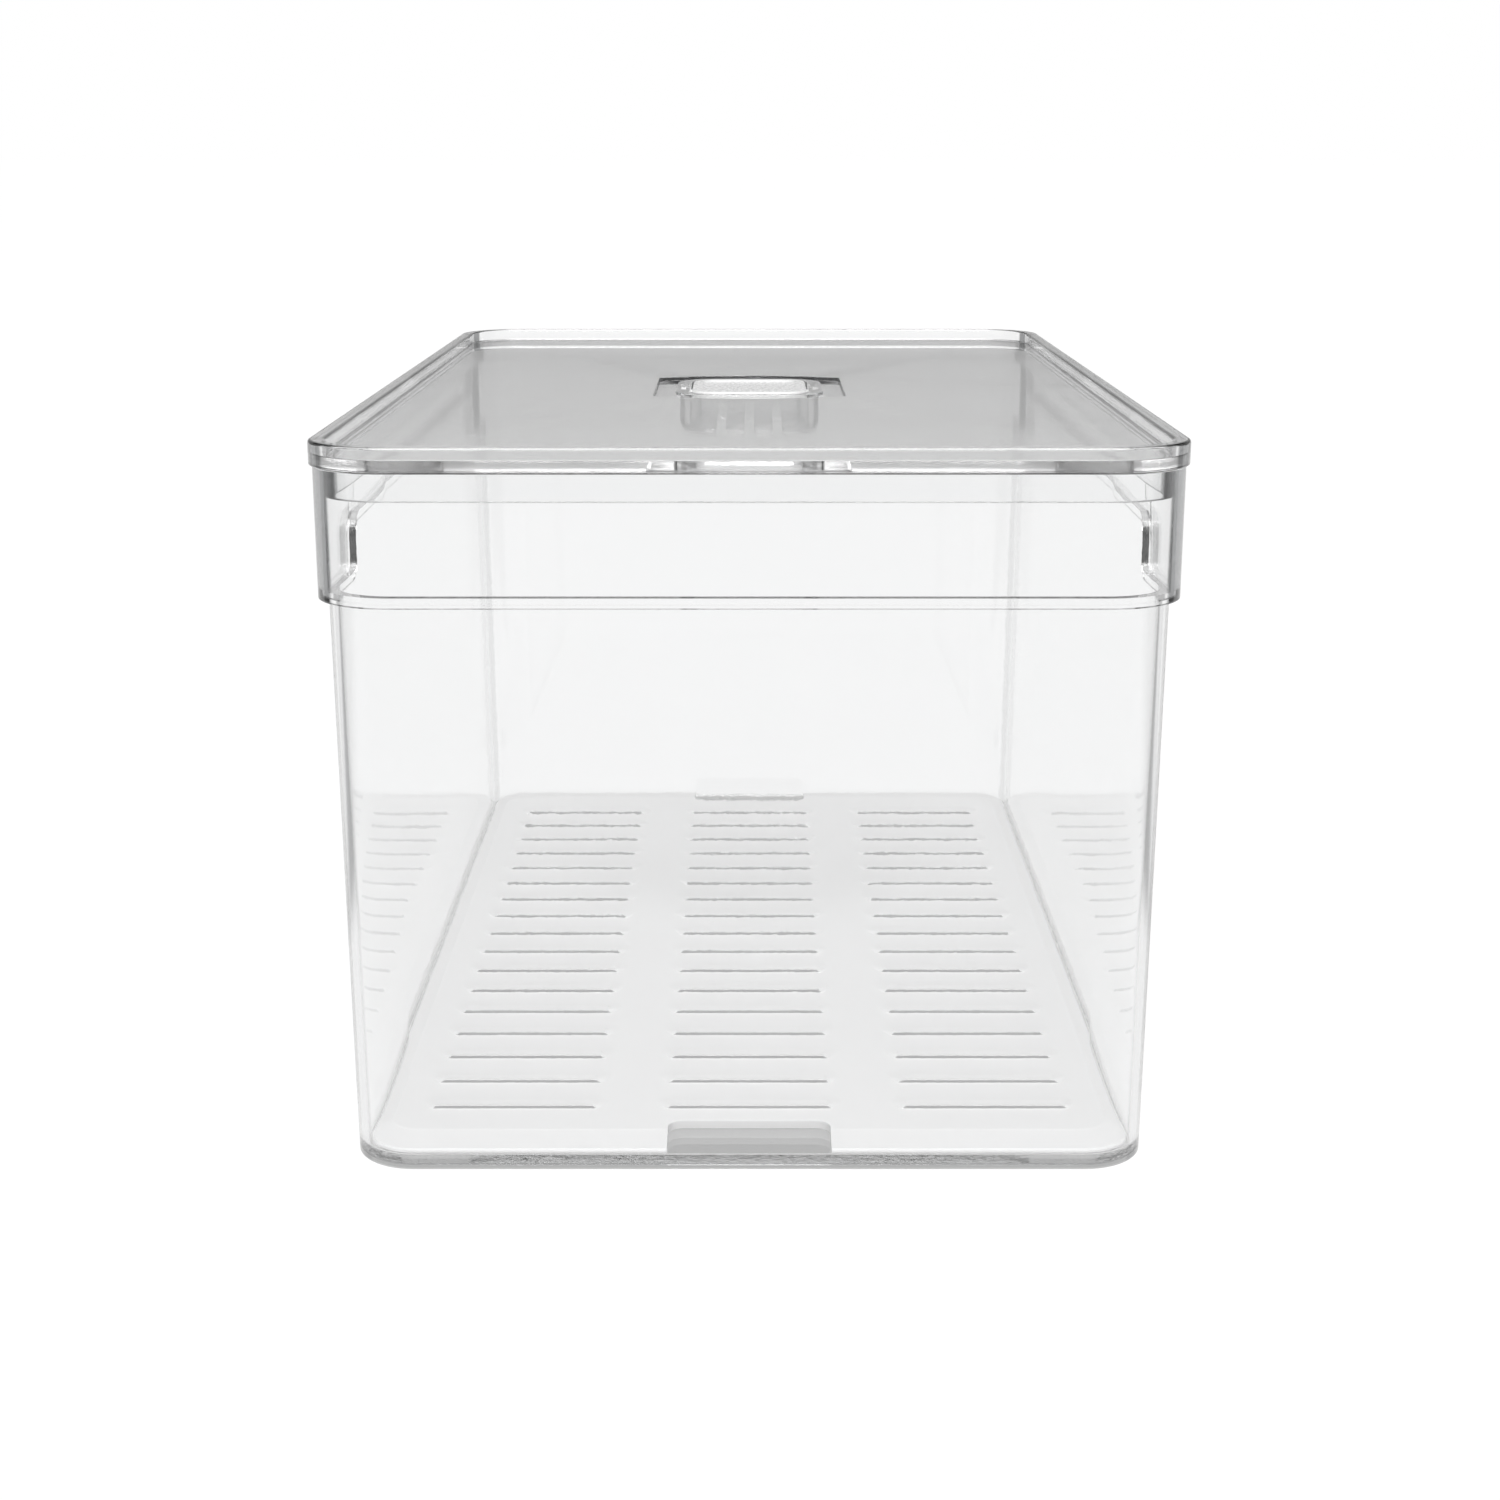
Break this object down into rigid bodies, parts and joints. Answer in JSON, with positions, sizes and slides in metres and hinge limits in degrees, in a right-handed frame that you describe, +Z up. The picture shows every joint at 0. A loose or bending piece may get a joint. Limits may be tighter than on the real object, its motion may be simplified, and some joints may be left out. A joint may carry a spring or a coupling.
{
  "type": "fridge bin",
  "caption": "Clear lidded refrigerator bin with a stepped rim, side grips, a rocker air vent in its lid and a louvered lift-out drain tray.",
  "frame": {"origin": "centre of the footprint, on the surface the bin stands on", "axes": "+Z up, +Y towards the back along the bin's length, +X across its width"},
  "size_m": [0.22, 0.36, 0.1908],
  "materials": {
    "clear_plastic": "clear, polished",
    "frosted_plastic": "translucent, soft gloss",
    "white_plastic": "fine satin moulding"
  },
  "bodies": {
    "bin": {"bin_body": "clear_plastic"},
    "lid": {"lid": "clear_plastic", "vent_housing": "clear_plastic"},
    "flap": {"vent_flap": "frosted_plastic"},
    "tray": {"drain_tray": "white_plastic"}
  },
  "joints": [
    {"name": "lid_lift", "type": "slide", "parent": "bin", "child": "lid", "axis": [0, 0, 1], "range_m": [0, 0.06]},
    {"name": "vent_tilt", "type": "hinge", "parent": "lid", "child": "flap", "pos_m": [0, -0.003, 0.1853], "axis": [1, 0, 0], "range_deg": [0, 18]},
    {"name": "tray_lift", "type": "slide", "parent": "bin", "child": "tray", "axis": [0, 0, 1], "range_m": [0, 0.15]}
  ]
}
